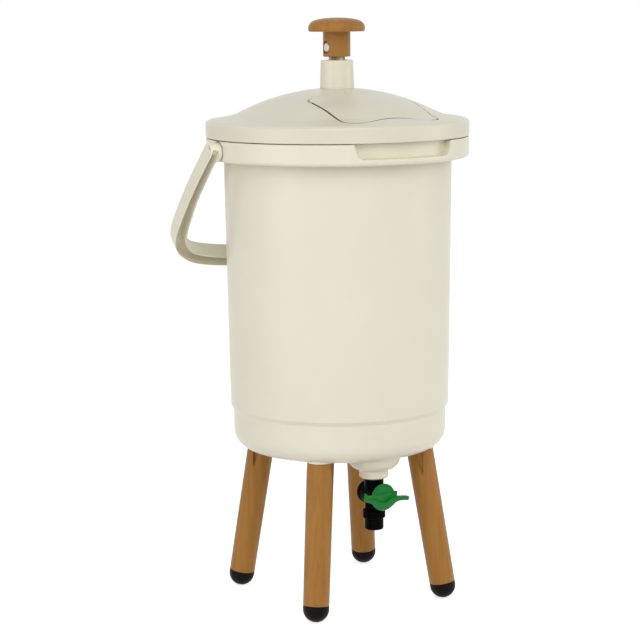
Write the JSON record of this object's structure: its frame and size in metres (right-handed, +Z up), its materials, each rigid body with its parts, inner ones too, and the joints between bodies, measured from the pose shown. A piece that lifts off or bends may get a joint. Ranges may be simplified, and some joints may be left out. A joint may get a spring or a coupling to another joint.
{
  "type": "bokashi bin",
  "caption": "Round kitchen-waste fermenting bin on splayed legs, with a domed lid, feed flap, press rod, swinging bail and a drain tap underneath.",
  "frame": {"origin": "on the floor, under the middle of the bounding box, which lies 3.7 mm behind the bin's own axis", "axes": "+Z up, -Y the front with the tap and the finger recess, +X to the right seen from the front"},
  "size_m": [0.3418, 0.323, 0.705],
  "materials": {
    "bin_plastic": "cream polypropylene, satin gloss",
    "lid_plastic": "cream polypropylene, satin gloss",
    "knob_composite": "brown wood-filled plastic, smooth moulded",
    "bail_plastic": "cream polypropylene, satin gloss",
    "rod_plastic": "cream polypropylene, plain moulded",
    "strainer_plastic": "cream polypropylene, plain moulded",
    "pin_plastic": "white nylon",
    "pin_steel": "drawn stainless wire",
    "leg_composite": "brown wood-filled plastic with faint lengthwise streaks",
    "foot_rubber": "black moulded rubber",
    "seal_rubber": "black soft rubber",
    "seal_silicone": "pale beige silicone",
    "tap_plastic": "black polypropylene",
    "plug_plastic": "grey acetal",
    "lever_plastic": "green polypropylene, semi-gloss"
  },
  "bodies": {
    "bin": {"bin_body": "bin_plastic", "strainer": "strainer_plastic", "leg_front_left": "leg_composite", "leg_front_right": "leg_composite", "leg_rear_right": "leg_composite", "leg_rear_left": "leg_composite", "foot_front_left": "foot_rubber", "foot_front_right": "foot_rubber", "foot_rear_right": "foot_rubber", "foot_rear_left": "foot_rubber", "tap_body": "tap_plastic", "tap_washer": "seal_rubber", "tap_back_cap": "tap_plastic", "tap_outlet_collar": "tap_plastic"},
    "lid": {"lid": "lid_plastic", "lid_seal": "seal_silicone", "guide_tube": "lid_plastic", "guide_nut": "lid_plastic", "flap_hinge_pin": "pin_steel"},
    "flap": {"feed_flap": "lid_plastic", "flap_gasket": "seal_rubber"},
    "press": {"push_knob": "knob_composite", "knob_cross_pin": "pin_plastic", "push_rod": "rod_plastic", "press_plate": "rod_plastic", "plate_pin": "pin_plastic"},
    "bail": {"bail_handle": "bail_plastic"},
    "valve": {"tap_plug": "plug_plastic", "plug_ring_front": "seal_rubber", "plug_ring_rear": "seal_rubber", "tap_lever": "lever_plastic"}
  },
  "joints": [
    {"name": "lid_lift", "type": "slide", "parent": "bin", "child": "lid", "axis": [0, 0, 1], "range_m": [0, 0.4]},
    {"name": "flap_hinge", "type": "hinge", "parent": "lid", "child": "flap", "pos_m": [0, -0.0457, 0.61733], "axis": [-1, 0, 0], "range_deg": [0, 105]},
    {"name": "press_slide", "type": "slide", "parent": "lid", "child": "press", "axis": [0, 0, 1], "range_m": [0, 0.34]},
    {"name": "bail_swing", "type": "hinge", "parent": "bin", "child": "bail", "pos_m": [0, 0.0068, 0.5514], "axis": [1, 0, 0], "range_deg": [0, 260]},
    {"name": "tap_turn", "type": "hinge", "parent": "bin", "child": "valve", "pos_m": [0, -0.0807, 0.14], "axis": [0, 1, 0], "range_deg": [0, 90]}
  ]
}
